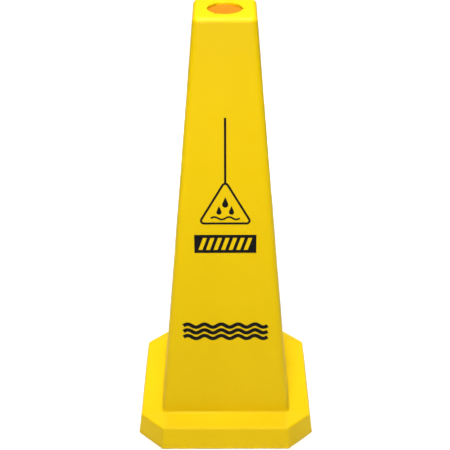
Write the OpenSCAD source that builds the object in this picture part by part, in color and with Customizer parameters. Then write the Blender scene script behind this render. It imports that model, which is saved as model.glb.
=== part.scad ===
// Four-sided floor warning cone: a tapered column standing on an octagonal weighted base.
// The origin is the centre of the footprint on the floor, +Z is up and the front face looks to -Y.

/* [Column] */
// Overall height above the floor
cone_h = 889; // [865:1:915]
// Width across the flats, at the height of the deck's outer edge
column_foot_w = 267; // [262:1:270]
// Width across the flats at the top, before the crown is rounded
column_top_w = 117; // [112:1:124]
// Radius of the column's upright corners
column_corner_r = 11; // [10:0.5:13]
// Radius of the edge all round the crown
crown_r = 8; // [6:0.5:9]
// Thickness of the column's walls, measured level
column_wall = 2.8; // [2.4:0.1:3.2]
// Gap that the stacking ribs keep between two nested cones
nest_gap = 2.4; // [2.2:0.1:2.8]

/* [Base] */
// Width of the base across its flats at the skirt's lower edge
base_w = 367; // [362:1:380]
// Leg of the chamfer at each corner, at the skirt's lower edge
base_chamfer = 52; // [48:1:56]
// Height of the deck at its outer edge
deck_edge_z = 48.5; // [47:0.5:50]
// Height of the deck where it meets the column
deck_foot_z = 56.5; // [55:0.5:58]
// Radius of the cove where the deck turns up against the column
cove_r = 3; // [2:0.5:3.5]
// Amount that each side of the skirt leans in from its lower edge to the deck
skirt_lean = 6; // [5:0.5:7]
// Radius of the edge between skirt and deck
deck_edge_r = 4; // [3:0.5:6]
// Wall thickness of the base moulding
base_wall = 3; // [2.5:0.1:3.5]
// Height of the skirt's lower edge above the floor
foot_drop = 1; // [0.8:0.1:2]

/* [Top plug] */
// Radius of the recess in the crown
recess_r = 32.5; // [31:0.5:34]
// Depth of the recess above the plug
recess_depth = 4.5; // [4:0.5:6]
// Thickness of the plug's disc
plug_disc_t = 4; // [3:0.5:5]
// Length of the plug's spigot below its disc
plug_spigot_l = 14; // [10:1:18]
// Running clearance round the plug
plug_gap = 0.1; // [0.05:0.05:0.2]

/* [Printed legend] */
// Thickness of the die-cut legend film
film_t = 0.25; // [0.2:0.05:0.5]
// Outer width of the warning triangle
triangle_w = 98; // [90:1:104]
// Width of the striped plate below the triangle
plate_w = 121; // [110:1:126]
// Height of the striped plate
plate_h = 39; // [36:1:42]
// Width of the band of waves
band_w = 170; // [150:1:176]

/* [Hidden] */
$fn = 96;

yellow = [0.96, 0.80, 0.05];
orange = [0.98, 0.58, 0.08];
ink = [0.04, 0.04, 0.04];
rubber = [0.12, 0.12, 0.12];
zinc = [0.72, 0.73, 0.75];

// The column's taper: the half width at any height, and the lean of each face from upright
foot_half = column_foot_w / 2;
top_half = column_top_w / 2;
taper = (foot_half - top_half) / (cone_h - deck_edge_z);
draft = atan(taper);
function half_at(z) = foot_half - taper * (z - deck_edge_z);

// Pieces stacked under the deck, from the floor up
ballast_z = 12;
ballast_t = 22;
flange_z = ballast_z + ballast_t;
flange_t = 3;
clamp_z = flange_z + flange_t;
flange_half = 166;
flange_chamfer = 59;
base_corner_r = 6;
column_toe_z = 4;
column_gap = 0.1;
ballast_gap = 0.5;
collar_t = 3;
nest_rib_x = 38;
nest_rib_t = 3;
nest_rib_z = 740;
nest_rib_l = 110;
nest_rib_reach = 30;
collar_land = 1.2;
chamfer_shrink = 3.5;
deck_chamfer = base_chamfer - chamfer_shrink;

// Screws that clamp the flange and the ballast to the base
screw_in = 152;
screw_side = 60;
screw_r = 2.4;
screw_hole_r = 2.75;
screw_pilot_r = screw_r + 0.02;
screw_head_r = 4.7;
screw_head_t = 3.2;
screw_head_round = 1.2;
screw_point_r = 0.8;
screw_point_l = 2;
drive_l = 5.2;
drive_w = 1;
drive_d = 1.8;
washer_r = 8;
washer_t = 1.2;
washer_hole_r = screw_r + 0.3;
counterbore_r = 9;
counterbore_d = 8;
boss_r = 6;
seat_z = ballast_z + counterbore_d;
screw_tip_z = clamp_z + 9;

// Rubber feet under the four chamfered corners
foot_in = 144;
foot_r = 12;
foot_groove_r = 7.5;
foot_groove_w = 2;
foot_groove_d = 1;
foot_pad_t = 5;
foot_stem_r = 4;
foot_stem_l = 9;
foot_stem_gap = 0.05;
foot_disc_r = 13;
foot_disc_t = 3;
foot_tube_r = 7;
rib_t = 2.5;
rib_gap = 2;
rib_places = [-95, -25, 25, 95];

// Socket under the crown, from the recess's floor down
disc_top_z = cone_h - recess_depth;
disc_z = disc_top_z - plug_disc_t;
ledge_w = 3.5;
ledge_t = 5;
spigot_bore_r = recess_r - ledge_w;
socket_r = recess_r + 7.5;
socket_z = disc_z - ledge_t;
sleeve_wall = 2.8;
sleeve_r = spigot_bore_r + sleeve_wall;
sleeve_z = disc_z - plug_spigot_l - 4;
notch_r = 3;
notch_d = 2.5;
notch_angles = [0, 120, 240];
plug_wall = 2.6;
plug_web_t = 2;
plug_rim_w = 3;
plug_dish = 0.8;
plug_edge_r = 0.6;
plug_lead_w = 0.8;
plug_lead_l = 2;

// How far a cut runs past the faces it opens
past = 1;

// ---------------------------------------------------------------- outlines and lofts

// Where two lines meet, each given by the angle of its normal and its distance from the centre
function meet(a1, d1, a2, d2) =
    [d1 * sin(a2) - d2 * sin(a1), d2 * cos(a1) - d1 * cos(a2)] / sin(a2 - a1);

// Outline with evenly turned sides at distances d, its corners rounded to r in n steps
function outline(d, r, n = 8, turn = 0) =
    let (sides = len(d), step = 360 / sides)
    [for (i = [0 : sides - 1])
        let (a = turn + i * step, c = meet(a, d[i] - r, a + step, d[(i + 1) % sides] - r))
        for (s = [0 : n]) c + r * [cos(a + step * s / n), sin(a + step * s / n)]];

function ring(points, z) = [for (p = points) [p[0], p[1], z]];
function square_ring(half, r, z) = ring(outline([half, half, half, half], r), z);
function octagon(half, chamfer, r) =
    outline([for (i = [0 : 7]) i % 2 == 0 ? half : (2 * half - chamfer) / sqrt(2)], r, 3);
function octagon_ring(half, chamfer, z) = ring(octagon(half, chamfer, base_corner_r), z);

// Solid through a list of rings that have the same number of points, lowest first
module loft(rings) {
    n = len(rings[0]);
    top = (len(rings) - 1) * n;
    sides = [for (k = [0 : len(rings) - 2], i = [0 : n - 1])
        [k * n + i, (k + 1) * n + i, (k + 1) * n + (i + 1) % n, k * n + (i + 1) % n]];
    lower = [[for (i = [0 : n - 1]) i]];
    upper = [[for (i = [n - 1 : -1 : 0]) top + i]];
    polyhedron(points = [for (r = rings) each r], faces = concat(lower, sides, upper), convexity = 6);
}

module at_four_sides() for (side = [0 : 3]) rotate([0, 0, 90 * side]) children();
module at_screws() {
    at_four_sides() for (x = [-screw_side, screw_side])
        translate([x, -screw_in, 0]) children();
}
module at_foot(corner) rotate([0, 0, 90 * corner]) translate([-foot_in, -foot_in, 0]) children();
module rod(r, z0, z1) translate([0, 0, z0]) cylinder(r = r, h = z1 - z0, $fn = r < 15 ? 48 : 96);

// ---------------------------------------------------------------- column

// Tapered four-sided solid, set in from the column's outside, with a rounded crown
module column_form(inset, z0, z1, crown) {
    r = column_corner_r - inset;
    loft(concat(
        [square_ring(half_at(z0) - inset, r, z0)],
        [for (a = [0 : 15 : 90])
            let (z = z1 - crown * (1 - sin(a)), in = crown * (1 - cos(a)))
            square_ring(half_at(z) - inset - in, r - in, z)]));
}

// Square prism that follows the column's taper at a distance outside its faces
module column_sleeve(outset, z0, z1)
    loft([for (z = [z0, z1]) square_ring(half_at(z) + outset, column_corner_r + outset, z)]);

module column_cavity() {
    column_form(column_wall, column_toe_z - past, cone_h - column_wall, crown_r - column_wall);
}

// Two upright ribs inside each face, near the top, that stop nested cones from jamming
module stacking_ribs() {
    difference() {
        intersection() {
            column_cavity();
            at_four_sides() for (x = [-nest_rib_x, nest_rib_x])
                translate([x - nest_rib_t / 2, -half_at(nest_rib_z), nest_rib_z])
                    cube([nest_rib_t, nest_rib_reach, nest_rib_l]);
        }
        column_form(column_wall + nest_gap, nest_rib_z - 20, cone_h - 20, 2);
    }
}

module clamp_flange() {
    translate([0, 0, flange_z]) linear_extrude(flange_t)
        polygon(octagon(flange_half, flange_chamfer, base_corner_r));
}

module socket() {
    rod(socket_r, socket_z, cone_h - past);
    rod(sleeve_r, sleeve_z, socket_z + past);
}

module socket_bore() {
    rod(recess_r, disc_z, cone_h + past);
    rod(spigot_bore_r, sleeve_z - past, cone_h);
    for (a = notch_angles)
        rotate([0, 0, a]) translate([recess_r, 0, 0]) rod(notch_r, disc_z - notch_d, cone_h + past);
}

module cone_body() {
    color(yellow) difference() {
        union() {
            difference() {
                union() {
                    column_form(0, column_toe_z, cone_h, crown_r);
                    clamp_flange();
                }
                column_cavity();
            }
            stacking_ribs();
            socket();
        }
        socket_bore();
        at_screws() rod(screw_hole_r, flange_z - past, clamp_z + past);
    }
}

// ---------------------------------------------------------------- base

deck_half = base_w / 2 - skirt_lean;
collar_out = column_gap + collar_land;
collar_z = deck_foot_z + cove_r;
deck_inner_half = half_at(deck_foot_z) + collar_out + cove_r;
deck_slope = (deck_foot_z - deck_edge_z) / (deck_half - deck_inner_half);

// Rounded square with as many points as an octagon_ring, at a distance outside the column
function collar_ring(outset, z) =
    let (half = half_at(z) + outset, corner = column_corner_r + outset)
    ring(outline([half, half, half, half], corner, 7), z);

// Outside of the base, with its deck edge rounded and a cove that turns up against the column
module base_form() {
    loft(concat(
        [octagon_ring(base_w / 2, base_chamfer, foot_drop)],
        [for (a = [0 : 15 : 90])
            octagon_ring(
                deck_half - deck_edge_r * (1 - cos(a)), deck_chamfer,
                deck_edge_z - deck_edge_r + deck_edge_r * (1 + deck_slope) * sin(a))],
        [for (a = [0 : 15 : 90])
            collar_ring(collar_out + cove_r * (1 - sin(a)), deck_foot_z + cove_r * (1 - cos(a)))]));
}

// Space inside the base, at a depth below its outer surface
module base_space(depth) {
    loft([
        octagon_ring(base_w / 2 - depth, base_chamfer - depth / 3, foot_drop - 1),
        octagon_ring(deck_half - depth, deck_chamfer - depth / 3, deck_edge_z - depth),
        collar_ring(collar_out + cove_r, deck_foot_z - depth),
    ]);
}

module base_shell() {
    difference() {
        base_form();
        base_space(base_wall);
    }
}

// Gusset inside the skirt, clear of the flange and the ballast
module gusset(x) {
    translate([x - rib_t / 2, -base_w / 2, ballast_z])
        cube([rib_t, base_w / 2 - flange_half - rib_gap, deck_foot_z]);
}

module foot_post() {
    rod(foot_disc_r, foot_pad_t, foot_pad_t + foot_disc_t);
    rod(foot_tube_r, foot_pad_t + 1, deck_foot_z);
}

module base_inside() {
    intersection() {
        base_space(base_wall / 2);
        union() {
            column_sleeve(column_gap + collar_t, clamp_z, deck_foot_z);
            at_screws() rod(boss_r, clamp_z, deck_foot_z);
            for (corner = [0 : 3]) at_foot(corner) foot_post();
            at_four_sides() for (x = rib_places) gusset(x);
        }
    }
}

module base_skirt() {
    color(yellow) difference() {
        union() {
            base_shell();
            base_inside();
        }
        column_sleeve(column_gap, column_toe_z, collar_z + past);
        at_screws() rod(screw_pilot_r, clamp_z - past, screw_tip_z + past);
        for (corner = [0 : 3])
            at_foot(corner) rod(foot_stem_r + foot_stem_gap, foot_pad_t - past, foot_pad_t + foot_stem_l + past);
    }
}

module ballast_ring() {
    inside = half_at(ballast_z) + ballast_gap;
    color(rubber) difference() {
        translate([0, 0, ballast_z]) linear_extrude(ballast_t) difference() {
            polygon(octagon(flange_half, flange_chamfer, base_corner_r));
            polygon(outline([inside, inside, inside, inside], column_corner_r + ballast_gap));
        }
        at_screws() {
            rod(screw_hole_r, ballast_z - past, flange_z + past);
            rod(counterbore_r, ballast_z - past, seat_z);
        }
    }
}

// Pan-head screw, point up, its head's top at the washer
module pan_head_screw() {
    head_z = seat_z - washer_t - screw_head_t;
    difference() {
        rotate_extrude() polygon([
            [0, head_z], [screw_head_r - screw_head_round, head_z], [screw_head_r, head_z + screw_head_round],
            [screw_head_r, seat_z - washer_t], [screw_r, seat_z - washer_t],
            [screw_r, screw_tip_z - screw_point_l], [screw_point_r, screw_tip_z], [0, screw_tip_z],
        ]);
        for (a = [0, 90])
            rotate([0, 0, a]) translate([-drive_l / 2, -drive_w / 2, head_z - past])
                cube([drive_l, drive_w, drive_d + past]);
    }
}

module base_screws() color(zinc) at_screws() pan_head_screw();

module base_washers() {
    color(zinc) at_screws() difference() {
        rod(washer_r, seat_z - washer_t, seat_z);
        rod(washer_hole_r, seat_z - washer_t - past, seat_z + past);
    }
}

// Grooved rubber pad with a stem that pushes into the post above it
module foot(corner) {
    color(rubber) at_foot(corner) difference() {
        union() {
            rod(foot_r, 0, foot_pad_t);
            rod(foot_stem_r, foot_pad_t, foot_pad_t + foot_stem_l);
        }
        difference() {
            rod(foot_groove_r, -past, foot_groove_d);
            rod(foot_groove_r - foot_groove_w, -2 * past, foot_groove_d + past);
        }
    }
}

// ---------------------------------------------------------------- top plug

module top_plug() {
    disc_r = recess_r - 2 * plug_gap;
    dish_r = disc_r - plug_rim_w;
    dish_z = disc_top_z - plug_dish;
    web_z = dish_z - plug_web_t;
    spigot_r = spigot_bore_r - plug_gap;
    spigot_z = disc_z - plug_spigot_l;
    color(orange) rotate_extrude() polygon([
        [0, web_z], [spigot_r - plug_wall, web_z], [spigot_r - plug_wall, spigot_z],
        [spigot_r - plug_lead_w, spigot_z], [spigot_r, spigot_z + plug_lead_l],
        [spigot_r, disc_z], [disc_r, disc_z], [disc_r, disc_top_z - plug_edge_r],
        [disc_r - plug_edge_r, disc_top_z], [dish_r, disc_top_z], [dish_r - plug_dish, dish_z], [0, dish_z],
    ]);
}

// ---------------------------------------------------------------- legend

// Places a drawing on one face of the column: x across, y up along the face from floor level
module on_face(side) {
    rotate([0, 0, 90 * side]) translate([0, -half_at(0), 0]) rotate([90 - draft, 0, 0])
        linear_extrude(film_t) children();
}

function up_face(z) = z / cos(draft);

rule_w = 4.4;
rule_top = up_face(704.5);
stroke = 4.3;
triangle_foot = up_face(488.5);
triangle_r = 8;
triangle_in = (triangle_w - 2 * triangle_r) / (2 * sqrt(3)) + triangle_r;
triangle_top = triangle_foot + 3 * (triangle_in - triangle_r) + 2 * triangle_r;
plate_foot = up_face(427.5);
band_mid = up_face(251.3);

module rounded_triangle(in, r) polygon(outline([in, in, in], r, 10, 30));

// Water drop with its round part centred on the origin
module drop(r, h) {
    open = acos(r / h);
    step = (360 - 2 * open) / 24;
    polygon(concat([[0, h]], [for (a = [90 - open : -step : -270 + open]) r * [cos(a), sin(a)]]));
}

// Wavy line of even thickness, w wide, centred on the origin
module wave(w, swing, count, t) {
    steps = 14 * count;
    turn = 360 * count;
    lean = swing * turn * PI / 180 / w;
    mid = [for (i = [0 : steps])
        let (a = turn * i / steps, dy = lean * cos(a), n = [-dy, 1] / sqrt(1 + dy * dy))
        [[w * (i / steps - 0.5), swing * sin(a)], n * t / 2]];
    polygon(concat([for (m = mid) m[0] + m[1]], [for (i = [steps : -1 : 0]) mid[i][0] - mid[i][1]]));
}

// Upright rule above a rounded triangle that holds three drops over a wavy line
module triangle(side) {
    color(ink) on_face(side) {
        translate([-rule_w / 2, triangle_top - stroke / 2])
            square([rule_w, rule_top - triangle_top + stroke / 2]);
        translate([0, triangle_foot + triangle_in]) {
            difference() {
                rounded_triangle(triangle_in, triangle_r);
                rounded_triangle(triangle_in - stroke, triangle_r - stroke);
            }
            translate([0, 10]) drop(r = 6, h = 16);
            for (x = [-12, 12]) translate([x, -6]) drop(r = 5, h = 13.5);
            translate([0, -18.5]) wave(w = 56, swing = 2.6, count = 2, t = 3.6);
        }
    }
}

// Solid plate with a row of slanted openings that show the column through
module striped_plate(side) {
    stripes = 7;
    window_h = 26;
    margin = 9;
    stripe_w = 8;
    lean = 9;
    pitch = (plate_w - 2 * margin) / stripes;
    color(ink) on_face(side) translate([-plate_w / 2, plate_foot]) difference() {
        square([plate_w, plate_h]);
        for (i = [0 : stripes - 1])
            translate([margin + pitch * (i + 0.5) - (stripe_w + lean) / 2, (plate_h - window_h) / 2])
                polygon([[0, 0], [stripe_w, 0], [stripe_w + lean, window_h], [lean, window_h]]);
    }
}

// Three wavy lines, one above the other
module wave_band(side) {
    line_pitch = 13.2;
    color(ink) on_face(side) for (k = [-1 : 1])
        translate([0, band_mid + line_pitch * k]) wave(w = band_w, swing = 3.6, count = 5, t = 8);
}

// ---------------------------------------------------------------- nodes

cone_body();
base_skirt();
ballast_ring();
base_screws();
base_washers();
top_plug();
foot(0);  // foot_front_left
foot(1);  // foot_front_right
foot(2);  // foot_rear_right
foot(3);  // foot_rear_left
triangle(0);  // triangle_front
triangle(1);  // triangle_right
triangle(2);  // triangle_rear
triangle(3);  // triangle_left
striped_plate(0);  // striped_plate_front
striped_plate(1);  // striped_plate_right
striped_plate(2);  // striped_plate_rear
striped_plate(3);  // striped_plate_left
wave_band(0);  // wave_band_front
wave_band(1);  // wave_band_right
wave_band(2);  // wave_band_rear
wave_band(3);  // wave_band_left
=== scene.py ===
"""Looks of the wet floor sign: materials, soft edges, light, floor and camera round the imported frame.

Lengths are in metres and angles in degrees, in the row frame: X to the right, Y to the back, Z up.
"""

import math

import bpy
from mathutils import Euler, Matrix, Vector

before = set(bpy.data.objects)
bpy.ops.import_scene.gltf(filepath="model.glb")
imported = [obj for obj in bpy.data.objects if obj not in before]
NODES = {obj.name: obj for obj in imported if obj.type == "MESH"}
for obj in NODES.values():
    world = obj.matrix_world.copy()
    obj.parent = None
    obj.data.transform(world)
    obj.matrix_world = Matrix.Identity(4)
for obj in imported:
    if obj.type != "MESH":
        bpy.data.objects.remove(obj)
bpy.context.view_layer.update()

# ---------------------------------------------------------------- named values

# Soft edges: width of the rounding on each node that has them
SOFT_EDGES = {"cone_body": 0.0008, "base_skirt": 0.0003, "top_plug": 0.0004}
EDGE_ANGLE = 32
EDGE_SEGMENTS = 3
WELD_GAP = 2e-6
FLAT_ANGLE = 1
FACE_WEIGHT = 80

# Colours, linear
YELLOW = (0.74, 0.500, 0.003, 1)
YELLOW_DEEP = (0.71, 0.476, 0.002, 1)
ORANGE = (0.55, 0.185, 0.005, 1)
ORANGE_DEEP = (0.51, 0.168, 0.004, 1)
SCUFF_GREY = (0.42, 0.32, 0.06, 1)
PRINT_COLOURS = ((0.003, 0.003, 0.003, 1), (0.007, 0.007, 0.007, 1))
RUBBER_COLOURS = ((0.012, 0.012, 0.012, 1), (0.05, 0.049, 0.047, 1))
ZINC_COLOURS = ((0.52, 0.53, 0.55, 1), (0.72, 0.72, 0.70, 1))
FLOOR_COLOURS = ((0.84, 0.84, 0.84, 1), (0.86, 0.86, 0.86, 1))

# Noise patterns: features per metre, fineness, and stretch along the axes
FLOW_MARKS = {"scale": 9, "detail": 4, "stretch": (1, 1, 0.3)}
STREAKS = {"scale": 70, "detail": 5, "stretch": (1, 1, 6)}
SMUDGES = {"scale": 14, "detail": 5}
RIPPLE = {"scale": 16, "detail": 2, "stretch": (1, 1, 0.5)}
GRAIN = {"scale": 2400, "detail": 2}
PRINT_PATCHES = {"scale": 60, "detail": 4}
ZINC_PATCHES = {"scale": 900, "detail": 3}
FLOOR_CLOUDS = {"scale": 3, "detail": 3}
RUBBER_DETAIL = 5
FOOT_GRAIN = 1500
BALLAST_GRAIN = 500
BASE_SHIFT = (0.4, 0.2, 0)
PLUG_SHIFT = (0.1, 0.7, 0)
NOISE_ROUGHNESS = 0.55

# The stretch of each noise that counts, from none to full
FLOW_RANGE = (0.3, 0.7)
STREAK_RANGE = (0.52, 0.66)
SMUDGE_RANGE = (0.35, 0.65)

# Scuffs fade out at this height, and take this share of the colour and of the shine
SCUFF_H = 0.022
SCUFF_COVER = 0.5
SCUFF_DULLING = 0.3

# Shine
PLASTIC_SPECULAR = 0.08
PLASTIC_IOR = 1.5
PRINT_SPECULAR = 0.1
RUBBER_SPECULAR = 0.35
FLOOR_SPECULAR = 0.1
COLUMN_ROUGHNESS = (0.30, 0.42)
BASE_ROUGHNESS = (0.34, 0.46)
PLUG_ROUGHNESS = (0.35, 0.5)
PRINT_ROUGHNESS = (0.42, 0.6)
RUBBER_ROUGHNESS = (0.6, 0.9)
ZINC_ROUGHNESS = (0.28, 0.5)
FLOOR_ROUGHNESS = (0.75, 0.85)
GRAIN_ROUGHNESS = 0.03

# Relief: depth, and strength from 0 to 1
RIPPLE_RELIEF = (0.0012, 0.25)
GRAIN_RELIEF = (0.00012, 0.35)
PRINT_RELIEF = (0.0001, 0.3)
RUBBER_RELIEF = (0.0006, 0.5)
ZINC_RELIEF = (0.00005, 0.4)

# Studio
FLOOR_SIZE = 14
WORLD_STRENGTH = 0.07
FULL_SPREAD = 180

# Name, place, target, size, power in watts, spread of the beam
LIGHTS = (
    ("key", (-0.2, -1.7, 2.7), (0, 0, 0.4), (0.6, 0.6), 4.3, 60),
    ("front_fill", (-0.1, -2.4, 1.1), (0, 0, 0.6), (0.6, 0.3), 2.3, 50),
    ("low_fill", (-0.1, -2.2, 1.3), (0, 0, 0.8), (0.8, 0.5), 1.5, FULL_SPREAD),
    ("top_light", (0, -0.2, 3.0), (0, 0, 0), (0.5, 0.5), 1.9, 30),
    ("mid_wash", (0, 1.25, 4.0), (0, 1.25, 0), (3, 0.6), 14, 25),
    ("side_wash_-1", (-1.15, 0.2, 4.0), (-1.15, 0.2, 0), (0.5, 1.2), 6, 22),
    ("side_wash_1", (1.15, 0.2, 4.0), (1.15, 0.2, 0), (0.5, 1.2), 6, 22),
    ("rear_fill", (0, 2.4, 4.2), (0, 0, 0.4), (1.2, 0.6), 3.5, 45),
    ("floor_wash", (0, 3.6, 5.0), (0, 3.2, 0), (5, 2), 104, 80),
)

# Camera, fitted to the photograph's outline: 30 degrees down on the front face
CAMERA_PLACE = (0.0, -1.9116, 1.5302)
CAMERA_DOWN = 30.02
CAMERA_ROLL = 0.14
CAMERA_LENS = 86.75
CAMERA_SENSOR = 36
CAMERA_SHIFT = (0.0023, 0.0071)

# ---------------------------------------------------------------- shapes


def add_modifier(piece, kind, **settings):
    """Adds a modifier with its settings, last in the piece's stack."""
    modifier = piece.modifiers.new(kind.title(), kind)
    for name, value in settings.items():
        setattr(modifier, name, value)


def soften(piece, width):
    """Rounds a CAD node's sharp edges a little and shades it smooth, without touching its mesh."""
    add_modifier(piece, "WELD", merge_threshold=WELD_GAP)
    add_modifier(piece, "DECIMATE", decimate_type="DISSOLVE", angle_limit=math.radians(FLAT_ANGLE))
    add_modifier(
        piece, "BEVEL", width=width, segments=EDGE_SEGMENTS, limit_method="ANGLE",
        angle_limit=math.radians(EDGE_ANGLE), use_clamp_overlap=False, miter_outer="MITER_ARC",
    )
    add_modifier(piece, "WEIGHTED_NORMAL", mode="FACE_AREA", weight=FACE_WEIGHT, keep_sharp=False)


# ---------------------------------------------------------------- materials


class Paint:
    """A node material built up step by step, every pattern placed in the row frame."""

    def __init__(self, name):
        self.material = bpy.data.materials.new(name)
        self.material.use_nodes = True
        self.nodes = self.material.node_tree.nodes
        self.links = self.material.node_tree.links
        self.shader = self.nodes["Principled BSDF"]
        self.place = self.nodes.new("ShaderNodeTexCoord").outputs["Object"]
        self.normal = None

    def feed(self, socket, value):
        """Gives an input a constant, or links another node's output to it."""
        if isinstance(value, bpy.types.NodeSocket):
            self.links.new(value, socket)
        else:
            socket.default_value = value

    def set(self, **values):
        """Sets or links the shader's own inputs, with _ for a space in their names."""
        for name, value in values.items():
            self.feed(self.shader.inputs[name.replace("_", " ")], value)

    def noise(self, scale, detail, stretch=(1, 1, 1), shift=(0, 0, 0)):
        """Noise with features about 1/scale metres across, stretched along the axes."""
        mapping = self.nodes.new("ShaderNodeMapping")
        mapping.inputs["Scale"].default_value = stretch
        mapping.inputs["Location"].default_value = shift
        self.links.new(self.place, mapping.inputs["Vector"])
        noise = self.nodes.new("ShaderNodeTexNoise")
        noise.inputs["Scale"].default_value = scale
        noise.inputs["Detail"].default_value = detail
        noise.inputs["Roughness"].default_value = NOISE_ROUGHNESS
        self.links.new(mapping.outputs["Vector"], noise.inputs["Vector"])
        return noise.outputs["Fac"]

    def ramp(self, value, low, high, start=0.0, end=1.0):
        """The value's stretch from start to end, mapped to low to high."""
        node = self.nodes.new("ShaderNodeMapRange")
        for name, number in (("From Min", start), ("From Max", end), ("To Min", low), ("To Max", high)):
            node.inputs[name].default_value = number
        self.links.new(value, node.inputs["Value"])
        return node.outputs["Result"]

    def mix(self, share, first, second):
        """A colour between two, each a constant or an output."""
        node = self.nodes.new("ShaderNodeMix")
        node.data_type = "RGBA"
        for index, value in ((0, share), (6, first), (7, second)):
            self.feed(node.inputs[index], value)
        return node.outputs[2]

    def math(self, operation, first, second):
        """Arithmetic on two values, each a constant or an output."""
        node = self.nodes.new("ShaderNodeMath")
        node.operation = operation
        for socket, value in zip(node.inputs, (first, second)):
            self.feed(socket, value)
        return node.outputs["Value"]

    def height(self):
        """Height above the floor at rest."""
        split = self.nodes.new("ShaderNodeSeparateXYZ")
        self.links.new(self.place, split.inputs["Vector"])
        return split.outputs["Z"]

    def bump(self, height, depth, strength):
        """Adds relief on top of what is there."""
        node = self.nodes.new("ShaderNodeBump")
        node.inputs["Strength"].default_value = strength
        node.inputs["Distance"].default_value = depth
        self.links.new(height, node.inputs["Height"])
        if self.normal is not None:
            self.links.new(self.normal, node.inputs["Normal"])
        self.normal = node.outputs["Normal"]
        self.links.new(self.normal, self.shader.inputs["Normal"])


def scuffs(paint, shift):
    """Rubbed streaks round the foot of a piece, from 0 where it is clean to 1."""
    low = paint.ramp(paint.height(), 1, 0, 0, SCUFF_H)
    streaks = paint.ramp(paint.noise(**STREAKS, shift=shift), 0, 1, *STREAK_RANGE)
    return paint.math("MULTIPLY", low, streaks)


def moulded_plastic(name, colour, deep, roughness, shift=(0, 0, 0)):
    """Smooth moulded plastic: faint flow marks, fine grain, smudges, and scuffs near the floor."""
    paint = Paint(name)
    paint.set(Specular_IOR_Level=PLASTIC_SPECULAR, IOR=PLASTIC_IOR)
    flow = paint.ramp(paint.noise(**FLOW_MARKS, shift=shift), 0, 1, *FLOW_RANGE)
    scuff = scuffs(paint, shift)
    clean = paint.mix(flow, deep, colour)
    paint.set(Base_Color=paint.mix(paint.math("MULTIPLY", scuff, SCUFF_COVER), clean, SCUFF_GREY))
    smudge = paint.ramp(paint.noise(**SMUDGES, shift=shift), *roughness, *SMUDGE_RANGE)
    grain = paint.noise(**GRAIN)
    worn = paint.math("ADD", smudge, paint.math("MULTIPLY", scuff, SCUFF_DULLING))
    paint.set(Roughness=paint.math("ADD", worn, paint.ramp(grain, -GRAIN_ROUGHNESS, GRAIN_ROUGHNESS)))
    paint.bump(paint.noise(**RIPPLE, shift=shift), *RIPPLE_RELIEF)
    paint.bump(grain, *GRAIN_RELIEF)
    return paint.material


def patchy(name, pattern, colours, roughness):
    """A paint whose colour and roughness follow one noise, returned with that noise."""
    paint = Paint(name)
    patch = paint.noise(**pattern)
    paint.set(Base_Color=paint.mix(patch, *colours), Roughness=paint.ramp(patch, *roughness))
    return paint, patch


def legend_print():
    """Black print film, its sheen a little uneven."""
    paint, _ = patchy("legend_print", PRINT_PATCHES, PRINT_COLOURS, PRINT_ROUGHNESS)
    paint.set(Specular_IOR_Level=PRINT_SPECULAR)
    paint.bump(paint.noise(**GRAIN), *PRINT_RELIEF)
    return paint.material


def rubber(name, scale):
    """Dull black rubber with a coarse grain."""
    pattern = {"scale": scale, "detail": RUBBER_DETAIL}
    paint, grain = patchy(name, pattern, RUBBER_COLOURS, RUBBER_ROUGHNESS)
    paint.set(Specular_IOR_Level=RUBBER_SPECULAR)
    paint.bump(grain, *RUBBER_RELIEF)
    return paint.material


def zinc_plate():
    """Zinc-plated steel of the screws and washers."""
    paint, patch = patchy("zinc_plate", ZINC_PATCHES, ZINC_COLOURS, ZINC_ROUGHNESS)
    paint.set(Metallic=1.0)
    paint.bump(patch, *ZINC_RELIEF)
    return paint.material


def pale_floor():
    """Plain, almost white studio floor."""
    paint, _ = patchy("pale_floor", FLOOR_CLOUDS, FLOOR_COLOURS, FLOOR_ROUGHNESS)
    paint.set(Specular_IOR_Level=FLOOR_SPECULAR)
    return paint.material


def dress(names, material):
    """Gives the material to each named node."""
    for name in names:
        NODES[name].data.materials.clear()
        NODES[name].data.materials.append(material)


def named(*starts):
    """The nodes whose names start so, such as the four sides' triangles."""
    return [name for start in starts for name in NODES if name.startswith(start)]


# ---------------------------------------------------------------- floor, light and camera


def make_floor(size):
    """Floor big enough to fill the view."""
    mesh = bpy.data.meshes.new("floor")
    half = size / 2
    corners = [(-half, -half, 0), (half, -half, 0), (half, half, 0), (-half, half, 0)]
    mesh.from_pydata(corners, [], [(0, 1, 2, 3)])
    mesh.materials.append(pale_floor())
    floor = bpy.data.objects.new("floor", mesh)
    bpy.context.scene.collection.objects.link(floor)


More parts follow.
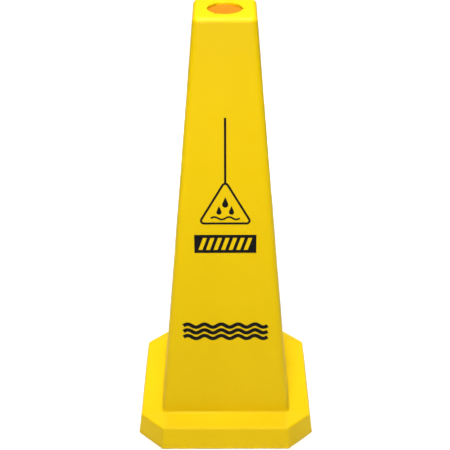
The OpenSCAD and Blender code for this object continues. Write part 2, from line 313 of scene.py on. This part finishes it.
def add_softbox(name, place, target, size, power, spread):
    """Rectangular area light that faces its target, its beam limited as by a grid."""
    light = bpy.data.lights.new(name, "AREA")
    light.shape = "RECTANGLE"
    light.size, light.size_y = size
    light.energy = power
    light.spread = math.radians(spread)
    lamp = bpy.data.objects.new(name, light)
    lamp.location = place
    lamp.rotation_euler = (Vector(target) - Vector(place)).to_track_quat("-Z", "Y").to_euler()
    bpy.context.scene.collection.objects.link(lamp)


def set_world(strength):
    """Even white light from all round."""
    world = bpy.data.worlds.new("studio")
    world.use_nodes = True
    background = world.node_tree.nodes["Background"]
    background.inputs["Color"].default_value = (1, 1, 1, 1)
    background.inputs["Strength"].default_value = strength
    bpy.context.scene.world = world


def make_camera():
    """Camera at the photograph's angle."""
    camera = bpy.data.cameras.new("camera")
    camera.sensor_width = CAMERA_SENSOR
    camera.lens = CAMERA_LENS
    camera.shift_x, camera.shift_y = CAMERA_SHIFT
    mount = bpy.data.objects.new("camera", camera)
    mount.location = CAMERA_PLACE
    mount.rotation_euler = Euler((math.radians(90 - CAMERA_DOWN), math.radians(CAMERA_ROLL), 0))
    bpy.context.scene.collection.objects.link(mount)
    bpy.context.scene.camera = mount


# ---------------------------------------------------------------- the sign in its studio

column = moulded_plastic("column_yellow", YELLOW, YELLOW_DEEP, COLUMN_ROUGHNESS)
base = moulded_plastic("base_yellow", YELLOW, YELLOW_DEEP, BASE_ROUGHNESS, BASE_SHIFT)
plug = moulded_plastic("plug_orange", ORANGE, ORANGE_DEEP, PLUG_ROUGHNESS, PLUG_SHIFT)
dress(["cone_body"], column)
dress(["base_skirt"], base)
dress(["top_plug"], plug)
dress(named("triangle_", "striped_plate_", "wave_band_"), legend_print())
dress(named("foot_"), rubber("foot_rubber", FOOT_GRAIN))
dress(["ballast_ring"], rubber("ballast_rubber", BALLAST_GRAIN))
dress(["base_screws", "base_washers"], zinc_plate())
for node, width in SOFT_EDGES.items():
    soften(NODES[node], width)

make_floor(FLOOR_SIZE)
set_world(WORLD_STRENGTH)
# From the front and above on the sign, and washes that keep the floor white behind it
for light in LIGHTS:
    add_softbox(*light)
make_camera()
bpy.context.scene.view_settings.view_transform = "Standard"
